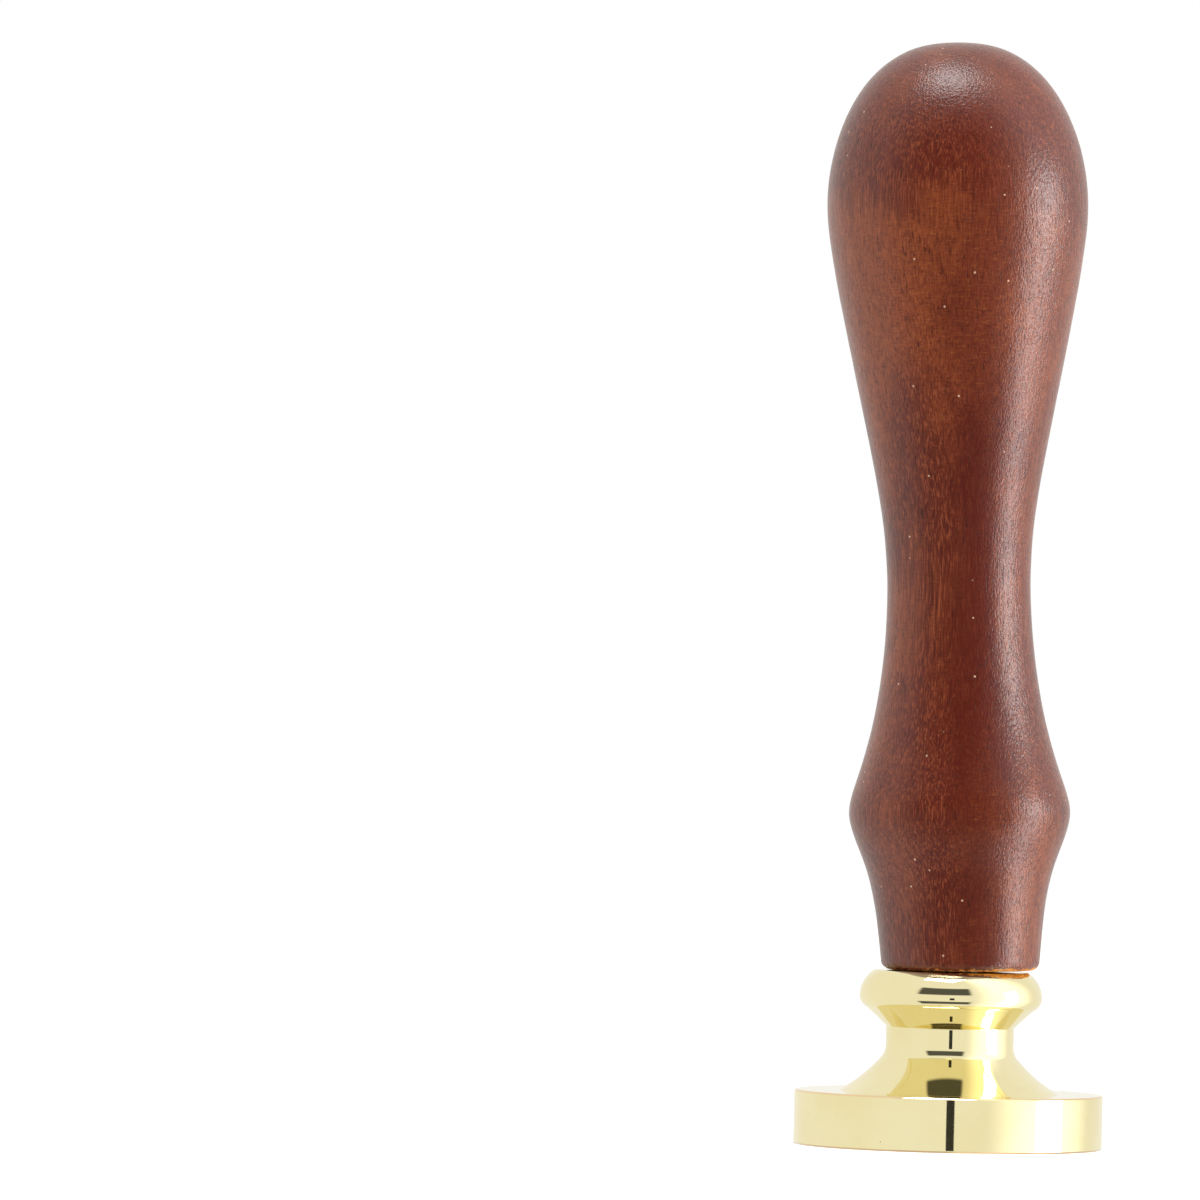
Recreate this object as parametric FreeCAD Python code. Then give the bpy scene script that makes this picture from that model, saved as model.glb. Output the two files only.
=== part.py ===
"""Wax seal stamp: a turned wooden grip screwed onto a brass die by a steel hanger bolt.

Millimetres, +Z up. The origin is the centre of the die's face, which the stamp stands on, and
+Z runs up the die's own axis. The grip isn't true to that axis: its bolt hole is drilled a
little off centre and out of square, so the grip sits slightly to +X and leans towards -X.

The nodes are brass_head (the die, its neck and its threaded collar, turned from one bar),
hanger_bolt (machine thread below, wood thread above) and handle (one piece of turned wood).
"""

import FreeCAD
import Part
import math
import os

Vector = FreeCAD.Vector
X_AXIS, Y_AXIS, Z_AXIS = Vector(1, 0, 0), Vector(0, 1, 0), Vector(0, 0, 1)
ORIGIN = Vector(0, 0, 0)

# Brass head: driving sizes
DISC_RADIUS = 12.5
DISC_HEIGHT = 4.4
NECK_RADIUS = 5.2
NECK_BOTTOM = 8.18
NECK_TOP = 9.65
FLARE_RADIUS = 8.6  # where the flare meets the disc
FLARE_SAG = 0.16  # how far the flare is hollowed below a straight cone
FLARE_TOP = (5.43, 7.5)  # where the flare turns into the neck
NECK_SAG = 0.06
COLLAR_RADIUS = 7.4
COLLAR_WIDEST = 12.1
HEAD_HEIGHT = 14.2
LIP_RADIUS = 6.95  # lower edge of the collar's bead
LIP_HEIGHT = 11.2
LIP_STEP = 0.12  # crease between the bead and the cone below it
BEAD_TOP_ARC = 2.45
BEAD_FOOT_ARC = 1.18
EDGE_BREAK = 0.12  # chamfer that takes the burr off the disc's edges

# Engraved die face: a plain daisy with leaves and a ring of dots, cut as a sunk pattern
ENGRAVING_DEPTH = 0.8
LINE_WIDTH = 0.5
PETALS = 8
EYE_RADIUS = 1.35
PETAL_CENTRE = 4.35
PETAL_LENGTH = 5.4
PETAL_WIDTH = 2.35
LEAF_CENTRE = 8.55
LEAF_LENGTH = 3.0
LEAF_WIDTH = 1.3
DOTS = 24
DOT_CENTRE = 11.0
DOT_RADIUS = 0.32

# Hanger bolt: M6 x 1 into the brass, wood thread into the grip
THREAD_PITCH = 1.0
THREAD_CREST = 3.0
THREAD_ROOT = 2.45
MACHINE_LENGTH = 7.5
MACHINE_TURNS = 9
WOOD_PITCH = 2.2
WOOD_ROOT = 2.1
WOOD_TURNS = 9
SHANK_RADIUS = 2.6
SHANK_LENGTH = 1.8
WOOD_LENGTH = 15.0
POINT_LENGTH = 3.0
POINT_RADIUS = 0.25
BORE_CLEARANCE = 0.12  # both bores are plain, at the thread's crest plus this much
BORE_MARGIN = 0.6  # free depth past each end of the bolt
MOUTH_CHAMFER = 0.4

# Handle, in its own upright frame: (height above its foot, radius) at each turning station
HANDLE_LENGTH = 75.0
HANDLE_STATIONS = (
    (75.0, 0.0),
    (74.5, 3.55),
    (72.4, 6.75),
    (68.8, 9.1),
    (65.2, 10.22),
    (61.5, 10.55),
    (57.9, 10.19),
    (49.4, 8.6),
    (42.1, 7.12),
    (36.1, 6.11),
    (30.3, 5.8),
    (23.9, 6.29),
    (19.0, 7.22),
    (15.4, 8.3),
    (13.9, 8.77),
    (12.6, 8.95),
    (11.2, 8.68),
    (8.6, 7.72),
    (4.9, 6.86),
    (0.75, 6.42),
)
FOOT_ARC = 0.7  # rounded lower edge of the wood
HANDLE_OFFSET = 0.7  # the bolt hole is this far off the grip's centre
HANDLE_LEAN = 1.5  # degrees; the bolt hole is this far out of square
FOOT_TILT = 0.7  # degrees; the foot is faced this far out of square to the bolt hole
FOOT_FACING = 0.09  # taken off the middle of the foot when it was faced
SEAT_GAP = 0.05  # between the collar and the nearest edge of the foot


def on_profile(radius, height):
    """A point of a turned outline: radius along +X, height along +Z."""
    return Vector(radius, 0, height)


def line(start, end):
    return Part.LineSegment(on_profile(*start), on_profile(*end)).toShape()


def arc(start, middle, end):
    return Part.Arc(on_profile(*start), on_profile(*middle), on_profile(*end)).toShape()


def turned(edges):
    """The solid that a closed half outline sweeps in a full turn about Z."""
    return Part.Face(Part.Wire(edges)).revolve(ORIGIN, Z_AXIS, 360)


def arc_middle(start, end, sag):
    """Middle point of an arc that bows by sag to the left of the way from start to end."""
    (r0, z0), (r1, z1) = start, end
    chord = math.hypot(r1 - r0, z1 - z0)
    return (
        (r0 + r1) / 2 - (z1 - z0) / chord * sag,
        (z0 + z1) / 2 + (r1 - r0) / chord * sag,
    )


def head_blank():
    """The brass head as turned, before it is bored and engraved."""
    bead_centre = COLLAR_RADIUS - BEAD_TOP_ARC
    rise = HEAD_HEIGHT - COLLAR_WIDEST
    top = (bead_centre + math.sqrt(BEAD_TOP_ARC**2 - rise**2), HEAD_HEIGHT)
    half_turn = math.asin(rise / BEAD_TOP_ARC) / 2
    top_middle = (
        bead_centre + BEAD_TOP_ARC * math.cos(half_turn),
        COLLAR_WIDEST + BEAD_TOP_ARC * math.sin(half_turn),
    )
    widest = (COLLAR_RADIUS, COLLAR_WIDEST)
    lip = (LIP_RADIUS, LIP_HEIGHT)
    foot_chord = math.hypot(COLLAR_RADIUS - LIP_RADIUS, COLLAR_WIDEST - LIP_HEIGHT)
    foot_sag = BEAD_FOOT_ARC - math.sqrt(BEAD_FOOT_ARC**2 - foot_chord**2 / 4)
    under_lip = (LIP_RADIUS - LIP_STEP, LIP_HEIGHT)
    neck_top = (NECK_RADIUS, NECK_TOP)
    neck_bottom = (NECK_RADIUS, NECK_BOTTOM)
    flare = (FLARE_RADIUS, DISC_HEIGHT)
    rim_top = (DISC_RADIUS - EDGE_BREAK, DISC_HEIGHT)
    rim_upper = (DISC_RADIUS, DISC_HEIGHT - EDGE_BREAK)
    rim_lower = (DISC_RADIUS, EDGE_BREAK)
    rim_face = (DISC_RADIUS - EDGE_BREAK, 0)
    return turned(
        [
            line((0, 0), rim_face),
            line(rim_face, rim_lower),
            line(rim_lower, rim_upper),
            line(rim_upper, rim_top),
            line(rim_top, flare),
            arc(flare, arc_middle(flare, FLARE_TOP, FLARE_SAG), FLARE_TOP),
            arc(FLARE_TOP, arc_middle(FLARE_TOP, neck_bottom, NECK_SAG), neck_bottom),
            line(neck_bottom, neck_top),
            line(neck_top, under_lip),
            line(under_lip, lip),
            arc(lip, arc_middle(lip, widest, -foot_sag), widest),
            arc(widest, top_middle, top),
            line(top, (0, HEAD_HEIGHT)),
            line((0, HEAD_HEIGHT), (0, 0)),
        ]
    )


def bore_in_head():
    """The tapped hole from the collar's top, with a drill point below and a chamfered mouth."""
    radius = THREAD_CREST + BORE_CLEARANCE
    floor = HEAD_HEIGHT - MACHINE_LENGTH - BORE_MARGIN
    drill_point = radius * math.tan(math.radians(31))
    mouth = (radius + MOUTH_CHAMFER, HEAD_HEIGHT)
    above = HEAD_HEIGHT + 1
    return turned(
        [
            line((0, floor - drill_point), (radius, floor)),
            line((radius, floor), (radius, HEAD_HEIGHT - MOUTH_CHAMFER)),
            line((radius, HEAD_HEIGHT - MOUTH_CHAMFER), mouth),
            line(mouth, (mouth[0], above)),
            line((mouth[0], above), (0, above)),
            line((0, above), (0, floor - drill_point)),
        ]
    )


def pocket(wire):
    """A cutter that sinks a closed outline, drawn on the face, to the engraving's depth."""
    below = 0.5
    solid = Part.Face(wire).extrude(Z_AXIS * (ENGRAVING_DEPTH + below))
    solid.translate(Z_AXIS * -below)
    return solid


def ellipse_wire(centre, length, width):
    """An ellipse with its long axis along X, or a circle where length and width are equal."""
    if abs(length - width) < 1e-9:
        return Part.Wire(Part.Circle(centre, Z_AXIS, length / 2).toShape())
    return Part.Wire(Part.Ellipse(centre, length / 2, width / 2).toShape())


def petal():
    """One petal, drawn as a line of constant width along its outline."""
    centre = Vector(PETAL_CENTRE, 0, 0)
    outer = ellipse_wire(centre, PETAL_LENGTH + LINE_WIDTH, PETAL_WIDTH + LINE_WIDTH)
    inner = ellipse_wire(centre, PETAL_LENGTH - LINE_WIDTH, PETAL_WIDTH - LINE_WIDTH)
    return pocket(outer).cut(pocket(inner))


def leaf():
    """A pointed leaf, bounded by two equal arcs."""
    tail = Vector(LEAF_CENTRE - LEAF_LENGTH / 2, 0, 0)
    tip = Vector(LEAF_CENTRE + LEAF_LENGTH / 2, 0, 0)
    side = Vector(LEAF_CENTRE, LEAF_WIDTH / 2, 0)
    other = Vector(LEAF_CENTRE, -LEAF_WIDTH / 2, 0)
    return pocket(
        Part.Wire([Part.Arc(tail, side, tip).toShape(), Part.Arc(tip, other, tail).toShape()])
    )


def turned_copies(shape, count, first=0.0):
    """Count copies of a shape, evenly spaced about Z, the first one turned by some degrees."""
    copies = []
    for i in range(count):
        one = shape.copy()
        one.rotate(ORIGIN, Z_AXIS, first + i * 360.0 / count)
        copies.append(one)
    return copies


def engraving():
    """Every cutter of the die's pattern."""
    half_step = 180.0 / PETALS
    dot = pocket(ellipse_wire(Vector(DOT_CENTRE, 0, 0), 2 * DOT_RADIUS, 2 * DOT_RADIUS))
    cutters = [pocket(ellipse_wire(ORIGIN, 2 * EYE_RADIUS, 2 * EYE_RADIUS))]
    cutters += turned_copies(petal(), PETALS)
    cutters += turned_copies(leaf(), PETALS, half_step)
    cutters += turned_copies(dot, DOTS)
    return cutters


def brass_head():
    return head_blank().cut([bore_in_head()] + engraving())


def threaded_rod(pitch, root, crest, turns, foot_width, crest_width):
    """A rod with a helical ridge, from half a turn below Z = 0, long enough to be trimmed."""
    sunk = root - 0.15
    outline = Part.makePolygon(
        [
            on_profile(sunk, -foot_width / 2),
            on_profile(crest, -crest_width / 2),
            on_profile(crest, crest_width / 2),
            on_profile(sunk, foot_width / 2),
            on_profile(sunk, -foot_width / 2),
        ]
    )
    helix = Part.Wire(Part.makeHelix(pitch, turns * pitch, root))
    ridge = helix.makePipeShell([outline], True, True)
    ridge.translate(Z_AXIS * -pitch)
    core = Part.makeCylinder(root, (turns - 0.5) * pitch, Z_AXIS * (-pitch / 2))
    return core.fuse(ridge)


def envelope(points):
    """A turned solid that bounds a thread's ends: its outline runs from axis to axis."""
    return turned([line(points[i - 1], points[i]) for i in range(len(points))])


def machine_thread():
    """The lower end, from Z = 0 up, with a chamfered tip."""
    rod = threaded_rod(
        THREAD_PITCH, THREAD_ROOT, THREAD_CREST, MACHINE_TURNS,
        0.86 * THREAD_PITCH, THREAD_PITCH / 8,
    )
    outside = THREAD_CREST + 0.3
    tip = THREAD_ROOT - 0.1
    return rod.common(
        envelope(
            [
                (0, 0),
                (tip, 0),
                (outside, outside - tip),
                (outside, MACHINE_LENGTH),
                (0, MACHINE_LENGTH),
            ]
        )
    )


def wood_thread():
    """The upper end, from Z = 0 up, tapering to a blunt point."""
    rod = threaded_rod(
        WOOD_PITCH, WOOD_ROOT, THREAD_CREST, WOOD_TURNS,
        0.5 * WOOD_PITCH, 0.08 * WOOD_PITCH,
    )
    outside = THREAD_CREST + 0.3
    return rod.common(
        envelope(
            [
                (0, 0),
                (outside, 0),
                (outside, WOOD_LENGTH - POINT_LENGTH),
                (POINT_RADIUS, WOOD_LENGTH),
                (0, WOOD_LENGTH),
            ]
        )
    )


def hanger_bolt():
    """Both threads and the plain shank between them, on the head's own axis."""
    lower = machine_thread()
    lower.translate(Z_AXIS * (HEAD_HEIGHT - MACHINE_LENGTH))
    shank = Part.makeCylinder(SHANK_RADIUS, SHANK_LENGTH, Vector(0, 0, HEAD_HEIGHT))
    upper = wood_thread()
    upper.translate(Z_AXIS * (HEAD_HEIGHT + SHANK_LENGTH))
    return lower.fuse([shank, upper])


def handle_blank():
    """The turned grip, upright on the origin."""
    outline = Part.BSplineCurve()
    outline.interpolate(
        Points=[on_profile(r, z) for z, r in HANDLE_STATIONS],
        InitialTangent=X_AXIS,
        FinalTangent=Vector(-0.1, 0, -1),
    )
    foot_height, foot_radius = HANDLE_STATIONS[-1]
    flat_radius = foot_radius - FOOT_ARC
    start = (foot_radius, foot_height)
    end = (flat_radius, 0)
    sag = FOOT_ARC * (1 - math.cos(math.pi / 4))
    return turned(
        [
            outline.toShape(),
            arc(start, arc_middle(start, end, sag), end),
            line(end, (0, 0)),
            line((0, 0), (0, HANDLE_LENGTH)),
        ]
    )


def bore_in_handle():
    """The bolt hole in the wood, on the head's own axis, from below the grip's foot."""
    radius = THREAD_CREST + BORE_CLEARANCE
    start = HEAD_HEIGHT - 1
    end = HEAD_HEIGHT + SHANK_LENGTH + WOOD_LENGTH - POINT_LENGTH + BORE_MARGIN
    drill_point = Part.makeCone(radius, 0, POINT_LENGTH + BORE_MARGIN, Vector(0, 0, end))
    return Part.makeCylinder(radius, end - start, Vector(0, 0, start)).fuse(drill_point)


def handle():
    """The grip where it stands over the collar: off centre, leaning, and lowest on one side."""
    lift = HANDLE_STATIONS[-1][1] * math.sin(math.radians(FOOT_TILT)) + SEAT_GAP
    foot_height = HEAD_HEIGHT + lift
    grip = handle_blank()
    grip.rotate(ORIGIN, Y_AXIS, -HANDLE_LEAN)
    grip.translate(Vector(HANDLE_OFFSET, 0, foot_height - FOOT_FACING))
    waste = Part.makeBox(40, 40, 10, Vector(-20, -20, -10))
    waste.rotate(ORIGIN, Y_AXIS, -FOOT_TILT)
    waste.translate(Vector(HANDLE_OFFSET, 0, foot_height))
    return grip.cut(waste).cut(bore_in_handle())


def export(name, shape):
    """Writes one node, and prints what it holds."""
    solids = Part.Compound(shape.Solids) if len(shape.Solids) > 1 else shape.Solids[0]
    box = solids.BoundBox
    print(
        f"{name}: {len(shape.Solids)} solid, valid {solids.isValid()}, {solids.Volume:.1f} mm3, "
        f"X {box.XMin:.2f}..{box.XMax:.2f}, Z {box.ZMin:.2f}..{box.ZMax:.2f}"
    )
    solids.exportStep(f"parts/{name}.step")


def main():
    os.makedirs("parts", exist_ok=True)
    export("brass_head", brass_head())
    export("hanger_bolt", hanger_bolt())
    export("handle", handle())


main()
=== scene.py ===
"""Looks of the wax seal stamp: a lacquered turned grip, a polished brass die and a zinc-plated stud.

Sizes are millimetres in the CAD's frame, with the origin at the centre of the die's face and +Z
up the die's own axis, unless a comment says otherwise. MM turns them into Blender's metres.
"""

import math

import bpy
import numpy as np
from mathutils import Matrix, Vector, noise


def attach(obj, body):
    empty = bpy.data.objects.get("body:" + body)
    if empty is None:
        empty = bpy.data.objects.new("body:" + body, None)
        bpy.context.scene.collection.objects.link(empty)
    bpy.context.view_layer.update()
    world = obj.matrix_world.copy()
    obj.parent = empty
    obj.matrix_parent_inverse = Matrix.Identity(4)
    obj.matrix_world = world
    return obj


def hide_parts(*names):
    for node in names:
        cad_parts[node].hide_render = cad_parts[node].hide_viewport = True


MM = 0.001

# Brass head
DISC_RADIUS = 12.5
DISC_HEIGHT = 4.4
NECK_RADIUS = 5.2
NECK_BOTTOM = 8.1
NECK_TOP = 9.65
FLARE_RADIUS = 8.9
FLARE_SAG = 0.2
FLARE_TOP = (5.42, 7.3)
NECK_SAG = 0.05
CONE_SAG = 0.03
FOOT_OF_BEAD = 11.95
COLLAR_RADIUS = 7.4
COLLAR_WIDEST = 12.1
HEAD_HEIGHT = 14.2
LIP_RADIUS = 6.95
LIP_HEIGHT = 11.2
LIP_STEP = 0.03
BEAD_TOP_ARC = 2.45
BEAD_FOOT_ARC = 1.18
EDGE_BREAK = 0.12
EDGE_ROUND = 0.05
HEAD_SEGMENTS = 360
THREAD_ROWS = 9

# Tapped hole in the head; the stud's ridge passes angle 0 at THREAD_PHASE above a whole millimetre
THREAD_PITCH = 1.0
THREAD_PHASE = 0.7
HOLE_RADIUS = 3.05
HOLE_CREST = 2.56
HOLE_FLOOR = 6.1
HOLE_POINT = 1.83
MOUTH_CHAMFER = 0.4
STUD_CREST = 3.0
FLANK_SLOPE = 1.9
FLANK_CLEARANCE = 0.12

# Engraved flower, leaves and dots
ENGRAVING_DEPTH = 0.8
ENGRAVING_DRAFT = 0.06
LINE_WIDTH = 0.5
PETALS = 8
EYE_RADIUS = 1.35
PETAL_CENTRE = 4.35
PETAL_LENGTH = 5.4
PETAL_WIDTH = 2.35
LEAF_CENTRE = 8.55
LEAF_LENGTH = 3.0
LEAF_WIDTH = 1.3
DOTS = 24
DOT_CENTRE = 11.0
DOT_RADIUS = 0.32

# Handle: (height above its foot, radius) at each turning station, in its own upright frame
HANDLE_LENGTH = 75.0
HANDLE_STATIONS = (
    (75.0, 0.0),
    (74.5, 3.55),
    (72.4, 6.75),
    (68.8, 9.1),
    (65.2, 10.22),
    (61.5, 10.55),
    (57.9, 10.19),
    (49.4, 8.6),
    (42.1, 7.12),
    (36.1, 6.11),
    (30.3, 5.8),
    (23.9, 6.29),
    (19.0, 7.22),
    (15.4, 8.3),
    (13.9, 8.77),
    (12.6, 8.95),
    (11.2, 8.68),
    (8.6, 7.72),
    (4.9, 6.86),
    (0.75, 6.42),
)
FOOT_ARC = 0.7
FOOT_SKEW_HEIGHT = 3.0
HANDLE_OFFSET = 0.7
HANDLE_LEAN = math.radians(1.5)
FOOT_TILT = math.radians(0.7)
SEAT_GAP = 0.05
HANDLE_SEGMENTS = 288
HANDLE_SPACING = 0.3
HANDLE_HOLE_TOP = 28.6
HANDLE_HOLE_POINT = 3.6

# Camera and studio
CAMERA_DISTANCE = 950.0
FRAME_WIDTH = 97.1
CAMERA_ROLL = math.radians(1.34)
DIE_RIGHT_OF_CENTRE = 28.1
DIE_BELOW_CENTRE = 44.2
SENSOR_WIDTH = 36.0
FLOOR_SOLID = 200.0
FLOOR_RADIUS = 900.0

# The light tent around the table, in degrees: bearings run to the right from the camera's side
BRIGHT_SIDE = (45, 110)
OPENING_BEARINGS = (-45, 25)
OPENING_RISES = (15, 40)
OPENING_SHADE = 0.10
LENS_HALF_WIDTH = 3
LENS_HEIGHT = 4
# The right softbox as the table mirrors it
GLARE_BEARINGS = (68, 92)
GLARE_RISES = (-40, -3)

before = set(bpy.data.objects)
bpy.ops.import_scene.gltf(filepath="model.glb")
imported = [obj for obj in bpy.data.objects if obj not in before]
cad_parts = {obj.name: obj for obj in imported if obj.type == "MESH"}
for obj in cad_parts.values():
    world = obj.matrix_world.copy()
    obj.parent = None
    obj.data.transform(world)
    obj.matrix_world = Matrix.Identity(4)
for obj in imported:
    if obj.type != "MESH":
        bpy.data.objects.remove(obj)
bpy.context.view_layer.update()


# --- geometry ---------------------------------------------------------------------------------


def circle(radius, height, segments):
    """One ring of a turned shape about Z; radius may be an array with one value per segment."""
    angle = np.arange(segments) * 2 * math.pi / segments
    ring = np.empty((segments, 3))
    ring[:, 0] = radius * np.cos(angle)
    ring[:, 1] = radius * np.sin(angle)
    ring[:, 2] = height
    return ring


def loft(name, rings, start_tip=None, end_tip=None, sharp_above=35.0):
    """A closed mesh through rings of points, ending in a point or a flat polygon at each end."""
    segments = len(rings[0])
    vertices = [tuple(p) for ring in rings for p in ring]
    faces = []
    for i in range(len(rings) - 1):
        low, high = i * segments, (i + 1) * segments
        for j in range(segments):
            k = (j + 1) % segments
            faces.append((low + j, low + k, high + k, high + j))
    last = (len(rings) - 1) * segments
    if start_tip is None:
        faces.append(tuple(reversed(range(segments))))
    else:
        vertices.append(tuple(start_tip))
        faces += [((j + 1) % segments, j, len(vertices) - 1) for j in range(segments)]
    if end_tip is None:
        faces.append(tuple(range(last, last + segments)))
    else:
        vertices.append(tuple(end_tip))
        tip = len(vertices) - 1
        faces += [(last + j, last + (j + 1) % segments, tip) for j in range(segments)]
    mesh = bpy.data.meshes.new(name)
    mesh.from_pydata([[c * MM for c in v] for v in vertices], [], faces)
    mesh.shade_smooth()
    mesh.set_sharp_from_angle(angle=math.radians(sharp_above))
    piece = bpy.data.objects.new(name, mesh)
    bpy.context.scene.collection.objects.link(piece)
    return piece


def smooth_line(points, first_tangent, last_tangent, spacing):
    """Evenly stepped points on the clamped cubic spline through the given points."""
    p = np.array(points, float)
    span = np.linalg.norm(np.diff(p, axis=0), axis=1)
    count = len(p)
    system = np.zeros((count, count))
    known = np.zeros((count, 2))
    system[0, 0] = system[-1, -1] = 1
    known[0], known[-1] = first_tangent, last_tangent
    for i in range(1, count - 1):
        system[i, i - 1 : i + 2] = span[i], 2 * (span[i - 1] + span[i]), span[i - 1]
        before = (p[i] - p[i - 1]) / span[i - 1]
        after = (p[i + 1] - p[i]) / span[i]
        known[i] = 3 * (span[i] * before + span[i - 1] * after)
    slope = np.linalg.solve(system, known)
    line = []
    for i in range(count - 1):
        steps = max(1, round(span[i] / spacing))
        for t in np.arange(steps) / steps:
            line.append(
                (2 * t**3 - 3 * t**2 + 1) * p[i]
                + (t**3 - 2 * t**2 + t) * span[i] * slope[i]
                + (3 * t**2 - 2 * t**3) * p[i + 1]
                + (t**3 - t**2) * span[i] * slope[i + 1]
            )
    line.append(p[-1])
    return line


def arc(start, end, sag, steps):
    """Points from start to end, both left out, on an arc that bows by sag to the left."""
    a, b = np.array(start, float), np.array(end, float)
    chord = np.linalg.norm(b - a)
    radius = (chord**2 / 4 + sag**2) / (2 * abs(sag))
    across = np.array([-(b - a)[1], (b - a)[0]]) / chord * math.copysign(1, sag)
    centre = (a + b) / 2 + across * (abs(sag) - radius)
    half = math.asin(chord / 2 / radius)
    along = (b - a) / chord
    turns = [half * (2 * i / steps - 1) for i in range(1, steps)]
    return [tuple(centre + radius * (math.cos(t) * across + math.sin(t) * along)) for t in turns]


def rounded(before, corner, after, radius, steps=3):
    """Points of a small fillet at a corner of an outline."""
    c = np.array(corner, float)
    u = np.array(before, float) - c
    v = np.array(after, float) - c
    u /= np.linalg.norm(u)
    v /= np.linalg.norm(v)
    half = math.acos(max(-1.0, min(1.0, float(u @ v)))) / 2
    reach = radius / math.tan(half)
    a, b = c + u * reach, c + v * reach
    middle = (a + b) / 2
    sag = radius / math.sin(half) - radius
    toward = (c - middle) / np.linalg.norm(c - middle)
    depth = np.linalg.norm(c - middle) - sag
    turn = 1 if (b - a)[0] * toward[1] - (b - a)[1] * toward[0] > 0 else -1
    return [tuple(a)] + arc(a, b, depth * turn, steps) + [tuple(b)]


# --- brass head -------------------------------------------------------------------------------


def with_supports(outline, margin=0.06, longest=0.8):
    """Adds points close to both ends of each long straight, so that shading stays flat there."""
    supported = [outline[0]]
    for start, end in zip(outline, outline[1:]):
        a, b = np.array(start, float), np.array(end, float)
        length = np.linalg.norm(b - a)
        if length > 4 * margin:
            steps = math.ceil((length - 2 * margin) / longest)
            for i in range(steps + 1):
                reach = margin + (length - 2 * margin) * i / steps
                supported.append(tuple(a + (b - a) * reach / length))
        supported.append(end)
    return supported


def head_outline():
    """(radius, height) points up the head, from the face's edge to the mouth of its hole."""
    rise = HEAD_HEIGHT - COLLAR_WIDEST
    bead_centre = COLLAR_RADIUS - BEAD_TOP_ARC
    top = (bead_centre + math.sqrt(BEAD_TOP_ARC**2 - rise**2), HEAD_HEIGHT)
    widest = (COLLAR_RADIUS, COLLAR_WIDEST)
    lip = (LIP_RADIUS, LIP_HEIGHT)
    under_lip = (LIP_RADIUS - LIP_STEP, LIP_HEIGHT)
    neck_top = (NECK_RADIUS, NECK_TOP)
    neck_bottom = (NECK_RADIUS, NECK_BOTTOM)
    flare = (FLARE_RADIUS, DISC_HEIGHT)
    rim = (
        (DISC_RADIUS - EDGE_BREAK, 0),
        (DISC_RADIUS, EDGE_BREAK),
        (DISC_RADIUS, DISC_HEIGHT - EDGE_BREAK),
        (DISC_RADIUS - EDGE_BREAK, DISC_HEIGHT),
    )
    bead_foot = (COLLAR_RADIUS, FOOT_OF_BEAD)
    foot_chord = math.hypot(COLLAR_RADIUS - LIP_RADIUS, FOOT_OF_BEAD - LIP_HEIGHT)
    foot_sag = BEAD_FOOT_ARC - math.sqrt(BEAD_FOOT_ARC**2 - foot_chord**2 / 4)
    top_chord = math.hypot(top[0] - widest[0], top[1] - widest[1])
    top_sag = BEAD_TOP_ARC - math.sqrt(BEAD_TOP_ARC**2 - top_chord**2 / 4)
    flare_curve = arc(flare, FLARE_TOP, FLARE_SAG, 32) + [FLARE_TOP]
    flare_curve += arc(FLARE_TOP, neck_bottom, NECK_SAG, 8)
    mouth = (HOLE_RADIUS + MOUTH_CHAMFER, HEAD_HEIGHT)
    outline = [rim[0]]
    outline += rounded(rim[0], rim[1], rim[2], EDGE_ROUND)
    outline += rounded(rim[1], rim[2], rim[3], EDGE_ROUND)
    outline += rounded(rim[2], rim[3], flare, EDGE_ROUND)
    outline += rounded(rim[3], flare, flare_curve[0], EDGE_ROUND)
    outline += flare_curve[1:] + [neck_bottom]
    outline += rounded(neck_bottom, neck_top, under_lip, EDGE_ROUND)
    outline += arc(outline[-1], under_lip, CONE_SAG, 16) + [under_lip, lip]
    outline += arc(lip, bead_foot, -foot_sag, 10) + [bead_foot, widest]
    outline += arc(widest, top, -top_sag, 18)
    outline += rounded(outline[-1], top, mouth, EDGE_ROUND)
    outline += [mouth, (HOLE_RADIUS, HEAD_HEIGHT - MOUTH_CHAMFER)]
    return with_supports(outline)


def threaded_rings(segments):
    """Rings down the tapped hole: a helical thread that clears the stud's own."""
    angle = np.arange(segments) / segments
    rings = []
    rows = round((HEAD_HEIGHT - MOUTH_CHAMFER - HOLE_FLOOR) * THREAD_ROWS)
    for i in range(1, rows + 1):
        height = HEAD_HEIGHT - MOUTH_CHAMFER - i / THREAD_ROWS
        turn = (height - THREAD_PHASE) / THREAD_PITCH - angle
        from_ridge = np.abs(turn - np.round(turn)) * THREAD_PITCH
        flank = STUD_CREST + FLANK_CLEARANCE - FLANK_SLOPE * (from_ridge - THREAD_PITCH / 16)
        radius = np.clip(flank, HOLE_CREST, HOLE_RADIUS)
        rings.append(circle(radius, height, segments))
    return rings


def engraved_outline(points, grow):
    """A closed outline moved outwards by grow, as the cutter is wider at the face."""
    p = np.array(points)
    along = np.roll(p, -1, axis=0) - np.roll(p, 1, axis=0)
    out = np.column_stack([along[:, 1], -along[:, 0]])
    out /= np.linalg.norm(out, axis=1)[:, None]
    return p + out * grow


def ellipse(centre, length, width, steps):
    turns = [2 * math.pi * i / steps for i in range(steps)]
    return [(centre + length / 2 * math.cos(t), width / 2 * math.sin(t)) for t in turns]


def leaf_outline():
    """A pointed leaf from tail to tip and back, counter-clockwise."""
    tail = (LEAF_CENTRE - LEAF_LENGTH / 2, 0.0)
    tip = (LEAF_CENTRE + LEAF_LENGTH / 2, 0.0)
    steps = 12
    lower = arc(tail, tip, -LEAF_WIDTH / 2, steps)
    upper = arc(tip, tail, -LEAF_WIDTH / 2, steps)
    return [tail] + lower + [tip] + upper


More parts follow.
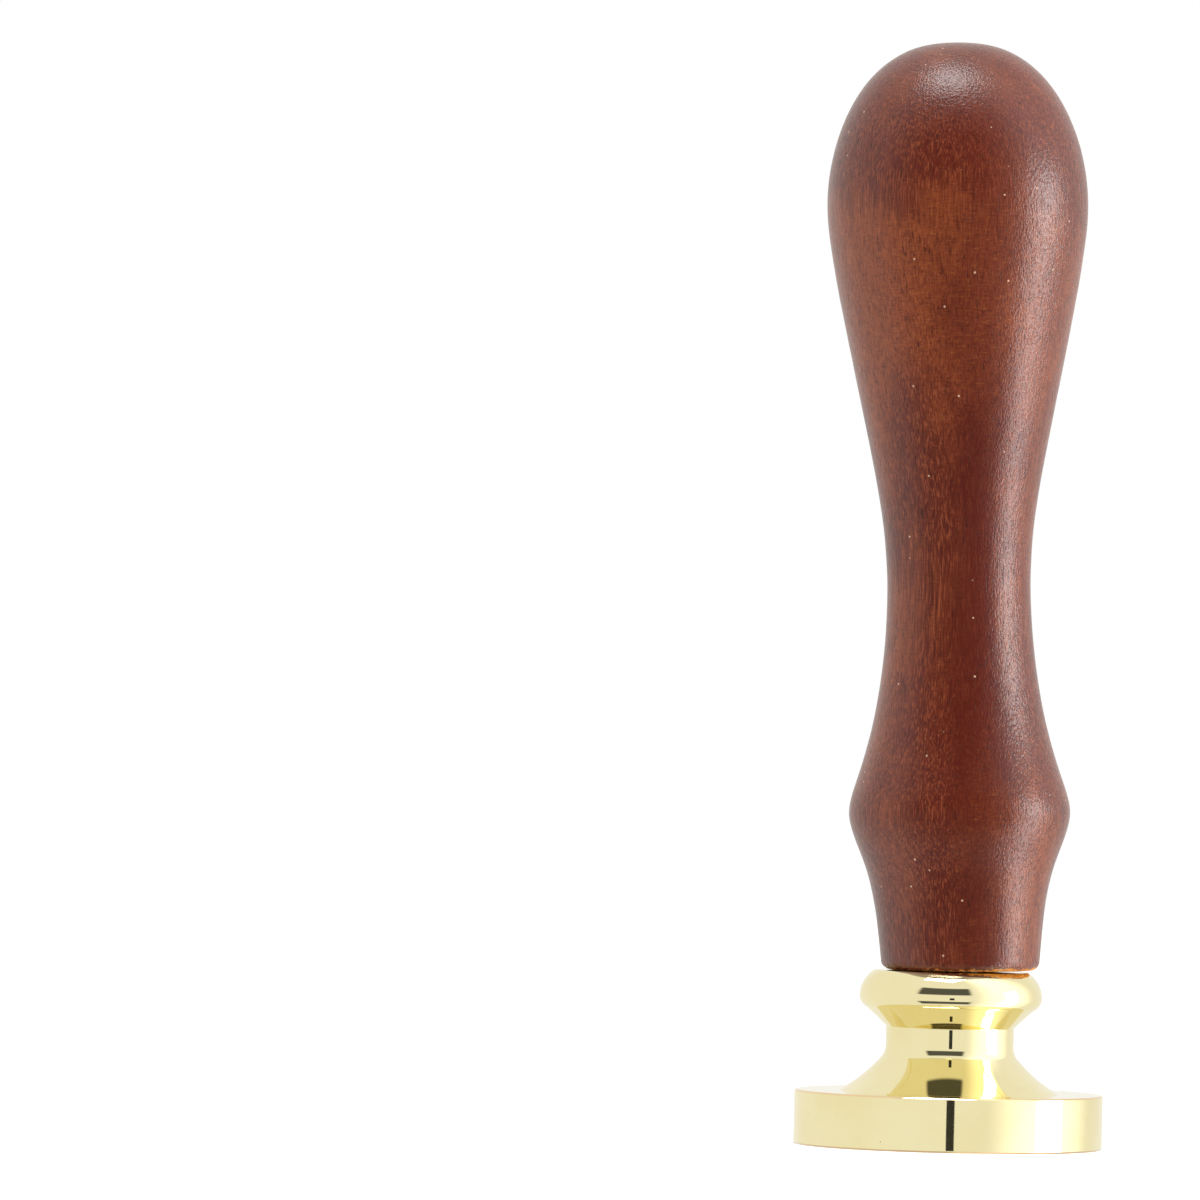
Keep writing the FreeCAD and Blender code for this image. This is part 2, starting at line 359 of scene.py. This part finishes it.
def cutter_parts(outer, inner, turn):
    """Vertices and faces of one drafted cutter: a plug, or a ring where it has an inner outline."""
    below = -0.4
    levels = ((below, ENGRAVING_DRAFT), (ENGRAVING_DEPTH, 0.0))
    loops = [(engraved_outline(outer, grow), z) for z, grow in levels]
    if inner is not None:
        loops += [(engraved_outline(inner, -grow), z) for z, grow in reversed(levels)]
    count = len(outer)
    cos, sin = math.cos(turn), math.sin(turn)
    vertices = []
    for points, z in loops:
        vertices += [(x * cos - y * sin, x * sin + y * cos, z) for x, y in points]
    faces = []
    rings = len(loops)
    for i in range(rings if inner is not None else rings - 1):
        low, high = i * count, (i + 1) % rings * count
        for j in range(count):
            k = (j + 1) % count
            faces.append((low + j, low + k, high + k, high + j))
    if inner is None:
        faces.append(tuple(reversed(range(count))))
        faces.append(tuple(range(count, 2 * count)))
    return vertices, faces


def engraving_cutter():
    """One mesh that holds every cutter of the pattern."""
    petal = (
        ellipse(PETAL_CENTRE, PETAL_LENGTH + LINE_WIDTH, PETAL_WIDTH + LINE_WIDTH, 48),
        ellipse(PETAL_CENTRE, PETAL_LENGTH - LINE_WIDTH, PETAL_WIDTH - LINE_WIDTH, 48),
    )
    parts = [cutter_parts(ellipse(0, 2 * EYE_RADIUS, 2 * EYE_RADIUS, 40), None, 0)]
    for i in range(PETALS):
        turn = 2 * math.pi * i / PETALS
        parts.append(cutter_parts(petal[0], petal[1], turn))
        parts.append(cutter_parts(leaf_outline(), None, turn + math.pi / PETALS))
    for i in range(DOTS):
        dot = ellipse(DOT_CENTRE, 2 * DOT_RADIUS, 2 * DOT_RADIUS, 20)
        parts.append(cutter_parts(dot, None, 2 * math.pi * i / DOTS))
    vertices, faces = [], []
    for some_vertices, some_faces in parts:
        start = len(vertices)
        vertices += [[c * MM for c in v] for v in some_vertices]
        faces += [[start + i for i in face] for face in some_faces]
    mesh = bpy.data.meshes.new("cutter")
    mesh.from_pydata(vertices, [], faces)
    cutter = bpy.data.objects.new("cutter", mesh)
    bpy.context.scene.collection.objects.link(cutter)
    return cutter


def cut_away(piece, cutter):
    """Subtracts the cutter from a piece, and removes the cutter."""
    cut = piece.modifiers.new("cut", "BOOLEAN")
    cut.operation = "DIFFERENCE"
    cut.solver = "EXACT"
    cut.use_self = True
    cut.object = cutter
    depsgraph = bpy.context.evaluated_depsgraph_get()
    mesh = bpy.data.meshes.new_from_object(piece.evaluated_get(depsgraph))
    piece.modifiers.clear()
    piece.data = mesh
    mesh.shade_smooth()
    mesh.set_sharp_from_angle(angle=math.radians(28))
    bpy.data.objects.remove(cutter)


def build_head():
    """The turned, tapped and engraved brass head."""
    rings = [circle(r, z, HEAD_SEGMENTS) for r, z in head_outline()]
    rings += threaded_rings(HEAD_SEGMENTS)
    rings.append(circle(HOLE_RADIUS, HOLE_FLOOR, HEAD_SEGMENTS))
    piece = loft("turned_head", rings, end_tip=(0, 0, HOLE_FLOOR - HOLE_POINT))
    cut_away(piece, engraving_cutter())
    return piece


# --- handle -----------------------------------------------------------------------------------


def handle_frame():
    """The matrix that puts the upright grip where it stands on the collar, in millimetres."""
    flat_radius = HANDLE_STATIONS[-1][1] - FOOT_ARC
    lift = flat_radius * math.sin(FOOT_TILT) + SEAT_GAP
    place = Matrix.Translation((HANDLE_OFFSET, 0, HEAD_HEIGHT + lift))
    return place @ Matrix.Rotation(-HANDLE_LEAN, 4, "Y")


def surface_relief(radius, angle, height):
    """How far the hand-finished wood stands proud of a true turning, by place."""
    x, y = radius * math.cos(angle), radius * math.sin(angle)
    wander = noise.noise((x * 0.09, y * 0.09, height * 0.06)) * 0.035
    ripple = noise.noise((x * 0.35, y * 0.35, height * 0.3 + 40)) * 0.012
    peel = noise.noise((x * 1.1 + 9, y * 1.1, height * 0.7)) * 0.008
    return min(wander + ripple + peel, 0.03)


def foot_chips(angle, height):
    """How much is broken off the foot's edge."""
    if height > 0.9:
        return 0.0
    x, y = math.cos(angle), math.sin(angle)
    chip = noise.noise((x * 9, y * 9, height * 1.5)) - 0.12
    return max(0.0, chip) * 0.32 * (1 - height / 0.9)


def build_handle():
    """The turned grip with its uneven surface, broken foot edge and bolt hole."""
    outline = smooth_line([(r, z) for z, r in HANDLE_STATIONS], (1, 0), (-0.1, -1), HANDLE_SPACING)
    foot_height, foot_radius = HANDLE_STATIONS[-1]
    flat_radius = foot_radius - FOOT_ARC
    foot_sag = FOOT_ARC * (1 - math.cos(math.pi / 4))
    outline += arc((foot_radius, foot_height), (flat_radius, 0), foot_sag, 8) + [(flat_radius, 0)]
    angles = np.arange(HANDLE_SEGMENTS) * 2 * math.pi / HANDLE_SEGMENTS
    place = np.array(handle_frame())
    rings = []
    for radius, height in outline[1:]:
        fade = min(1.0, radius / 2.0)
        relief = [
            surface_relief(radius, a, height) * fade - foot_chips(a, height) for a in angles
        ]
        ring = circle(radius + np.array(relief), height, HANDLE_SEGMENTS)
        skew = max(0.0, 1 - height / FOOT_SKEW_HEIGHT) ** 2
        ring[:, 2] -= ring[:, 0] * math.tan(HANDLE_LEAN - FOOT_TILT) * skew
        rings.append(ring @ place[:3, :3].T + place[:3, 3])
    foot_normal = np.array([-math.sin(FOOT_TILT), 0, math.cos(FOOT_TILT)])
    foot_centre = place[:3, 3]
    for share in (0.66, 0.33):
        radius = HOLE_RADIUS + 0.25 + (flat_radius - HOLE_RADIUS - 0.25) * share
        ring = circle(radius, 0, HANDLE_SEGMENTS)
        ring[:, 0] += foot_centre[0] * share
        rings.append(on_foot_plane(ring, foot_centre, foot_normal))
    # Around the bore the wood comes down to the collar, and hides the stud in the gap
    for grow, gap in ((0.35, 0.02), (0.25, 0.02), (0.0, 0.3)):
        rings.append(circle(HOLE_RADIUS + grow, HEAD_HEIGHT + gap, HANDLE_SEGMENTS))
    for height in (18.0, 22.0, 26.0, HANDLE_HOLE_TOP):
        rings.append(circle(HOLE_RADIUS, height, HANDLE_SEGMENTS))
    crown = place @ np.array([0, 0, HANDLE_LENGTH, 1])
    tip = (0, 0, HANDLE_HOLE_TOP + HANDLE_HOLE_POINT)
    return loft("turned_handle", rings, start_tip=crown[:3], end_tip=tip)


def on_foot_plane(ring, centre, normal):
    """Lifts the points of a ring straight up or down onto the plane of the grip's foot."""
    lifted = ring.copy()
    lifted[:, 2] = centre[2] - (
        (ring[:, 0] - centre[0]) * normal[0] + (ring[:, 1] - centre[1]) * normal[1]
    ) / normal[2]
    return lifted


# --- materials --------------------------------------------------------------------------------


class Graph:
    """A node tree under construction. Lengths inside it are millimetres."""

    def __init__(self, tree):
        self.tree = tree

    def add(self, kind, inputs=None, **settings):
        node = self.tree.nodes.new("ShaderNode" + kind)
        for name, value in settings.items():
            setattr(node, name, value)
        for name, value in (inputs or {}).items():
            self.feed(node.inputs[name], value)
        return node

    def feed(self, socket, value):
        if isinstance(value, bpy.types.NodeSocket):
            self.tree.links.new(value, socket)
        else:
            socket.default_value = value

    def math(self, operation, a, b=0.0, c=0.0, clamp=False):
        node = self.add("Math", {0: a, 1: b, 2: c}, operation=operation, use_clamp=clamp)
        return node.outputs[0]

    def stretch(self, vector, x, y, z):
        node = self.add("VectorMath", {0: vector, 1: (x, y, z)}, operation="MULTIPLY")
        return node.outputs[0]

    def noise(self, vector, scale=1.0, detail=2.0, roughness=0.5, distortion=0.0):
        inputs = {
            "Vector": vector,
            "Scale": scale,
            "Detail": detail,
            "Roughness": roughness,
            "Distortion": distortion,
        }
        return self.add("TexNoise", inputs).outputs["Fac"]

    def step(self, value, low, high, to_low=0.0, to_high=1.0):
        """Smooth step of a value from to_low, at low, to to_high, at high."""
        node = self.add(
            "MapRange",
            {"Value": value, "From Min": low, "From Max": high, "To Min": to_low, "To Max": to_high},
            interpolation_type="SMOOTHSTEP",
        )
        return node.outputs["Result"]

    def band(self, value, limits, soft):
        """1 where a value lies between two limits, fading to 0 across each of them."""
        rising = self.step(value, limits[0] - soft, limits[0] + soft)
        falling = self.step(value, limits[1] + soft, limits[1] - soft)
        return self.math("MULTIPLY", rising, falling)

    def mix(self, factor, a, b, blend="MIX"):
        node = self.add("Mix", data_type="RGBA", blend_type=blend)
        self.feed(node.inputs["Factor"], factor)
        self.feed(node.inputs[6], a)
        self.feed(node.inputs[7], b)
        return node.outputs[2]

    def bump(self, height, distance, strength=1.0, normal=None):
        """Bump by a height of 0 to 1 that stands for a distance in millimetres."""
        inputs = {"Height": height, "Distance": distance * MM, "Strength": strength}
        if normal is not None:
            inputs["Normal"] = normal
        return self.add("Bump", inputs).outputs["Normal"]


def new_material(name):
    """A material with a Principled shader, its graph and its shader node."""
    material = bpy.data.materials.new(name)
    material.use_nodes = True
    return material, Graph(material.node_tree), material.node_tree.nodes["Principled BSDF"]


def object_place(graph, matrix=None):
    """Object coordinates in millimetres, in the frame that the matrix, in millimetres, gives."""
    coords = graph.add("TexCoord").outputs["Object"]
    inverse = (matrix or Matrix.Identity(4)).inverted()
    mapping = graph.add(
        "Mapping",
        {
            "Vector": coords,
            "Scale": (1 / MM, 1 / MM, 1 / MM),
            "Rotation": inverse.to_euler(),
            "Location": inverse.translation,
        },
    )
    return mapping.outputs["Vector"]


def rgb(red, green, blue):
    return (red, green, blue, 1.0)


def wood_material():
    """Red mahogany stain on plain straight-grained wood, under a thin satin lacquer, with a painted
    shade streak down its front.
    """
    material, g, shader = new_material("stained_wood")
    place = object_place(g, handle_frame())
    split = g.add("SeparateXYZ", {"Vector": place})
    x, y, height = (split.outputs[name] for name in "XYZ")

    patches = g.noise(g.stretch(place, 0.13, 0.13, 0.07), detail=4.0, roughness=0.6)
    streaks = g.noise(g.stretch(place, 1.6, 1.6, 0.06), detail=5.0, roughness=0.6)
    fibres = g.noise(g.stretch(place, 5.4, 5.4, 0.2), detail=4.0, roughness=0.65)
    threads = g.noise(g.stretch(place, 8.0, 8.0, 0.55), detail=2.0, roughness=0.6)
    pores = g.noise(g.stretch(place, 6.0, 6.0, 0.42), detail=2.0, roughness=0.5)
    figure = g.noise(g.stretch(place, 1.4, 1.4, 6.0), detail=3.0, roughness=0.6)

    # The colour turns warmer above the waist and in a patch on the belly's front-left, and less warm
    # towards the crown
    upper = g.step(height, 42.0, 54.0, -0.04, 0.07)
    crown = g.step(height, 57.0, 66.0, 0.0, -0.17)
    bearing = g.math("ARCTAN2", x, g.math("MULTIPLY", y, -1.0))
    off_side = g.math("ABSOLUTE", g.math("ADD", bearing, 0.35))
    off_belly = g.math("ABSOLUTE", g.math("SUBTRACT", height, 55.5))
    belly = g.math("MULTIPLY", g.step(off_side, 1.1, 0.1), g.step(off_belly, 10.0, 2.0, 0.0, 0.16))
    warm = g.math("ADD", g.math("ADD", patches, belly), g.math("ADD", upper, crown))
    warm = g.step(warm, 0.38, 0.66)
    light = g.step(streaks, 0.35, 0.72)
    colour = g.mix(warm, rgb(0.088, 0.0120, 0.0060), rgb(0.188, 0.040, 0.0115))
    colour = g.mix(g.math("MULTIPLY", light, 0.2), colour, rgb(0.24, 0.055, 0.021))
    colour = g.mix(g.step(fibres, 0.42, 0.70, 0.0, 0.65), colour, rgb(0.046, 0.0062, 0.0032))
    colour = g.mix(g.step(threads, 0.46, 0.72, 0.0, 0.6), colour, rgb(0.29, 0.072, 0.026))
    # Painted shade: a dark streak just right of the grip's front, stronger lower down, in place of a
    # dark reflection in the lacquer
    wander = g.noise(g.stretch(place, 0.25, 0.25, 0.08), detail=3.0)
    off_shade_streak = g.math("ADD", bearing, g.math("MULTIPLY_ADD", wander, 0.9, -0.65))
    shade_streak = g.step(g.math("ABSOLUTE", off_shade_streak), 0.55, 0.05)
    shade_streak = g.math("MULTIPLY", shade_streak, g.step(height, 62.0, 38.0, 0.5, 0.75))
    colour = g.mix(shade_streak, colour, rgb(0.070, 0.0070, 0.0030))
    sand = g.noise(place, scale=7.0, detail=2.0, roughness=0.6)
    colour = g.mix(g.step(sand, 0.5, 0.75, 0.0, 0.45), colour, rgb(0.040, 0.0055, 0.003))
    dark_pores = g.step(pores, 0.64, 0.71)
    colour = g.mix(g.math("MULTIPLY", dark_pores, 0.6), colour, rgb(0.022, 0.004, 0.002))
    bars = g.math("MULTIPLY", g.step(figure, 0.55, 0.70), warm)
    colour = g.mix(g.math("MULTIPLY", bars, 0.22), colour, rgb(0.33, 0.105, 0.018))
    crossing = g.math("MULTIPLY", g.step(figure, 0.45, 0.32), 0.4)
    colour = g.mix(crossing, colour, rgb(0.042, 0.0060, 0.0035))

    specks = g.add("TexVoronoi", {"Vector": place, "Scale": 0.8}, feature="F1")
    rare = g.add("SeparateColor", {"Color": specks.outputs["Color"]}).outputs[0]
    near = g.step(specks.outputs["Distance"], 0.09, 0.05)
    speck = g.math("MULTIPLY", near, g.math("GREATER_THAN", rare, 0.7))
    colour = g.mix(g.math("MULTIPLY", speck, 0.6), colour, rgb(0.74, 0.50, 0.34))

    ragged = g.noise(g.stretch(place, 2.6, 2.6, 1.2), detail=3.0, roughness=0.7)
    edge = g.math("ADD", height, g.math("MULTIPLY", ragged, -0.8))
    bare = g.step(edge, -0.22, -0.30)
    bare_colour = g.mix(light, rgb(0.42, 0.15, 0.03), rgb(0.66, 0.30, 0.085))
    colour = g.mix(bare, colour, bare_colour)
    g.feed(shader.inputs["Base Color"], colour)

    roughness = g.step(fibres, 0.3, 0.8, 0.42, 0.58)
    g.feed(shader.inputs["Roughness"], g.math("MAXIMUM", roughness, g.math("MULTIPLY", bare, 0.8)))
    turned_away = g.add("LayerWeight", {"Blend": 0.5}).outputs["Facing"]
    lacquer = g.step(turned_away, 0.0, 0.27, 0.08, 0.78)
    g.feed(shader.inputs["Coat Weight"], g.math("MULTIPLY", g.math("SUBTRACT", 1.0, bare), lacquer))
    shader.inputs["Coat Roughness"].default_value = 0.25
    shader.inputs["Coat IOR"].default_value = 1.5
    shader.inputs["Specular IOR Level"].default_value = 0.05

    peel = g.noise(g.stretch(place, 5.6, 5.6, 3.6), detail=1.5, roughness=0.5)
    grain = g.noise(g.stretch(place, 9.0, 9.0, 1.6), detail=1.0, roughness=0.5)
    relief = g.math("ADD", peel, g.math("MULTIPLY", grain, 0.5))
    relief = g.math("SUBTRACT", relief, g.math("MULTIPLY", dark_pores, 0.3))
    relief = g.math("ADD", relief, g.math("MULTIPLY", speck, 0.5))
    normal = g.bump(relief, 0.045)
    g.feed(shader.inputs["Normal"], normal)
    g.feed(shader.inputs["Coat Normal"], normal)
    return material


def turning_coordinates(graph, place):
    """(radius, height, a little of the angle), so that noise on them runs in turning lines."""
    split = graph.add("SeparateXYZ", {"Vector": place})
    x, y, z = (split.outputs[name] for name in "XYZ")
    square = graph.math("ADD", graph.math("MULTIPLY", x, x), graph.math("MULTIPLY", y, y))
    radius = graph.math("SQRT", square)
    angle = graph.math("ARCTAN2", y, x)
    lines = graph.add(
        "CombineXYZ", {"X": radius, "Y": z, "Z": graph.math("MULTIPLY", angle, 0.04)}
    )
    return radius, z, lines.outputs["Vector"]


def brass_material():
    """Polished brass with the fine lines of its turning, duller engraved floors and painted
    reflections on the disc's rim edges.
    """
    material, g, shader = new_material("polished_brass")
    place = object_place(g)
    radius, height, lines = turning_coordinates(g, place)
    fine_lines = g.noise(g.stretch(lines, 9.0, 9.0, 9.0), detail=3.0, roughness=0.7)
    broad_lines = g.noise(g.stretch(lines, 1.6, 1.6, 1.6), detail=2.0, roughness=0.5)
    tarnish = g.noise(g.stretch(place, 0.16, 0.16, 0.2), detail=4.0, roughness=0.6)
    pits = g.add("TexVoronoi", {"Vector": place, "Scale": 0.9}, feature="F1")
    rare = g.add("SeparateColor", {"Color": pits.outputs["Color"]}).outputs[0]
    pit = g.math(
        "MULTIPLY", g.step(pits.outputs["Distance"], 0.06, 0.03), g.math("GREATER_THAN", rare, 0.82)
    )
    inside = g.math("LESS_THAN", radius, 12.2)
    floor = g.math("MULTIPLY", g.step(height, 0.25, 0.5), g.math("LESS_THAN", height, 0.9))
    floor = g.math("MULTIPLY", floor, inside)

    colour = g.mix(g.step(tarnish, 0.3, 0.75), rgb(0.905, 0.82, 0.50), rgb(0.87, 0.775, 0.44))
    # Painted reflections: a coppery band along the top edge of the disc's rim and a darker brown one
    # along its bottom edge
    outer = g.math("GREATER_THAN", radius, DISC_RADIUS - EDGE_BREAK - 0.02)
    upper_edge_reflection = g.math("MULTIPLY", g.step(height, DISC_HEIGHT - 0.16, DISC_HEIGHT - 0.10), outer)
    lower_edge_reflection = g.math("MULTIPLY", g.step(height, 0.16, 0.10), outer)
    colour = g.mix(g.math("MULTIPLY", upper_edge_reflection, 0.6), colour, rgb(0.84, 0.53, 0.30))
    colour = g.mix(g.math("MULTIPLY", lower_edge_reflection, 0.7), colour, rgb(0.55, 0.30, 0.17))
    colour = g.mix(g.math("MULTIPLY", pit, 0.7), colour, rgb(0.25, 0.16, 0.05))
    colour = g.mix(g.math("MULTIPLY", floor, 0.55), colour, rgb(0.42, 0.28, 0.10))
    g.feed(shader.inputs["Base Color"], colour)
    shader.inputs["Metallic"].default_value = 1.0

    roughness = g.step(fine_lines, 0.35, 0.75, 0.02, 0.05)
    roughness = g.math("ADD", roughness, g.math("MULTIPLY", g.step(tarnish, 0.45, 0.8), 0.02))
    g.feed(shader.inputs["Roughness"], g.math("MAXIMUM", roughness, g.math("MULTIPLY", floor, 0.34)))
    relief = g.math("ADD", fine_lines, g.math("MULTIPLY", broad_lines, 0.6))
    on_disc = g.math("LESS_THAN", height, DISC_HEIGHT + 0.02)
    relief = g.math("MULTIPLY", relief, on_disc)
    relief = g.math("SUBTRACT", relief, g.math("MULTIPLY", pit, 12.0))
    g.feed(shader.inputs["Normal"], g.bump(relief, 0.0004))
    return material


def steel_material():
    """Bright zinc-plated steel with rolled-thread marks."""
    material, g, shader = new_material("zinc_plated_steel")
    place = object_place(g)
    _, _, lines = turning_coordinates(g, place)
    marks = g.noise(g.stretch(lines, 6.0, 6.0, 30.0), detail=3.0, roughness=0.6)
    cloud = g.noise(place, scale=0.5, detail=4.0, roughness=0.6)
    colour = g.mix(g.step(cloud, 0.3, 0.7), rgb(0.66, 0.66, 0.64), rgb(0.52, 0.53, 0.54))
    colour = g.mix(g.math("MULTIPLY", g.step(marks, 0.55, 0.8), 0.4), colour, rgb(0.30, 0.28, 0.25))
    g.feed(shader.inputs["Base Color"], colour)
    shader.inputs["Metallic"].default_value = 1.0
    g.feed(shader.inputs["Roughness"], g.step(marks, 0.3, 0.8, 0.22, 0.42))
    g.feed(shader.inputs["Normal"], g.bump(marks, 0.01))
    return material


def floor_material():
    """A matt white table, slightly self-lit, that fades out to the white surroundings."""
    material, g, shader = new_material("white_table")
    place = object_place(g)
    distance = g.add("VectorMath", {0: place}, operation="LENGTH").outputs["Value"]
    shader.inputs["Base Color"].default_value = rgb(0.92, 0.92, 0.92)
    shader.inputs["Roughness"].default_value = 0.7
    shader.inputs["Emission Color"].default_value = rgb(1, 1, 1)
    shader.inputs["Emission Strength"].default_value = 0.15
    clear = g.add("BsdfTransparent").outputs["BSDF"]
    blend = g.add("MixShader", {0: g.step(distance, FLOOR_SOLID, FLOOR_RADIUS)})
    g.feed(blend.inputs[1], shader.outputs["BSDF"])
    g.feed(blend.inputs[2], clear)
    g.feed(g.tree.nodes["Material Output"].inputs["Surface"], blend.outputs["Shader"])
    return material


# --- studio -----------------------------------------------------------------------------------


def build_floor():
    mesh = bpy.data.meshes.new("table")
    ring = circle(FLOOR_RADIUS * MM, 0, 96)
    mesh.from_pydata([tuple(p) for p in ring], [], [tuple(range(96))])
    floor = bpy.data.objects.new("table", mesh)
    bpy.context.scene.collection.objects.link(floor)
    mesh.materials.append(floor_material())
    # Reflections miss the table: the world below the horizon stands for what it mirrors
    floor.visible_glossy = False


def build_world():
    """A white light tent, brighter on the right and open in front; the table mirrors it."""
    world = bpy.data.worlds.new("studio")
    bpy.context.scene.world = world
    world.use_nodes = True
    world.node_tree.nodes.clear()
    g = Graph(world.node_tree)
    direction = g.add("TexCoord").outputs["Generated"]
    split = g.add("SeparateXYZ", {"Vector": direction})
    x, y, z = (split.outputs[name] for name in "XYZ")
    bearing = g.math("ARCTAN2", x, g.math("MULTIPLY", y, -1.0))
    bearing = g.math("MULTIPLY", bearing, 180 / math.pi)
    rise = g.math("MULTIPLY", g.math("ARCSINE", z), 180 / math.pi)
    glare = g.math("MULTIPLY", g.band(bearing, GLARE_BEARINGS, 2), g.band(rise, GLARE_RISES, 3))
    rise = g.math("ABSOLUTE", rise)
    bright = g.band(bearing, BRIGHT_SIDE, 20)
    colour = g.mix(bright, rgb(0.95, 0.94, 0.91), rgb(1.7, 1.7, 1.7))
    opening = g.math("MULTIPLY", g.band(bearing, OPENING_BEARINGS, 4), g.band(rise, OPENING_RISES, 2))
    colour = g.mix(opening, colour, rgb(OPENING_SHADE, OPENING_SHADE, OPENING_SHADE))
    before_lens = g.math("LESS_THAN", g.math("ABSOLUTE", bearing), LENS_HALF_WIDTH)
    lens = g.math("MULTIPLY", before_lens, g.math("LESS_THAN", rise, LENS_HEIGHT))
    colour = g.mix(lens, colour, rgb(0.04, 0.04, 0.04))
    colour = g.mix(glare, colour, rgb(9.0, 9.0, 9.0))
    lit = g.add("Background", {"Color": colour, "Strength": 1.0})
    seen = g.add("Background", {"Color": rgb(1, 1, 1), "Strength": 1.0})
    camera_ray = g.add("LightPath").outputs["Is Camera Ray"]
    blend = g.add("MixShader", {0: camera_ray, 1: lit.outputs[0], 2: seen.outputs[0]})
    output = g.add("OutputWorld")
    g.feed(output.inputs["Surface"], blend.outputs[0])


def add_softbox(name, place, target, size, power):
    """A rectangular softbox; place, target and size in millimetres, power in watts."""
    light = bpy.data.lights.new(name, "AREA")
    light.shape = "RECTANGLE"
    light.size, light.size_y = size[0] * MM, size[1] * MM
    light.energy = power
    lamp = bpy.data.objects.new(name, light)
    lamp.location = Vector(place) * MM
    aim = Vector(target) - Vector(place)
    lamp.rotation_euler = aim.to_track_quat("-Z", "Y").to_euler()
    bpy.context.scene.collection.objects.link(lamp)


def build_lights():
    add_softbox("right_softbox", (693, -97, 140), (0, 0, 50), (260, 280), 2.5)
    add_softbox("top_softbox", (-60, -90, 640), (0, 0, 60), (320, 240), 2.7)


def build_camera():
    """A level camera that looks along +Y, rolled so that the grip stands upright in its view."""
    camera = bpy.data.cameras.new("camera")
    camera.sensor_width = SENSOR_WIDTH
    camera.lens = SENSOR_WIDTH * CAMERA_DISTANCE / FRAME_WIDTH
    camera.clip_start = 0.01
    camera.clip_end = 100
    right = Vector((math.cos(CAMERA_ROLL), 0, math.sin(CAMERA_ROLL)))
    up = Vector((-math.sin(CAMERA_ROLL), 0, math.cos(CAMERA_ROLL)))
    forward = Vector((0, 1, 0))
    centre = up * DIE_BELOW_CENTRE - right * DIE_RIGHT_OF_CENTRE
    turn = Matrix((right, up, -forward)).transposed().to_4x4()
    stand = bpy.data.objects.new("camera", camera)
    stand.matrix_world = Matrix.Translation((centre - forward * CAMERA_DISTANCE) * MM) @ turn
    bpy.context.scene.collection.objects.link(stand)
    bpy.context.scene.camera = stand


# --- assembly ---------------------------------------------------------------------------------


def place_piece(piece, node, material):
    piece.data.materials.clear()
    piece.data.materials.append(material)
    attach(piece, node)
    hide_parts(node)


def main():
    place_piece(build_head(), "brass_head", brass_material())
    place_piece(build_handle(), "handle", wood_material())
    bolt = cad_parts["hanger_bolt"]
    bolt.data.materials.clear()
    bolt.data.materials.append(steel_material())
    build_floor()
    build_world()
    build_lights()
    build_camera()
    bpy.context.scene.view_settings.view_transform = "Standard"


main()
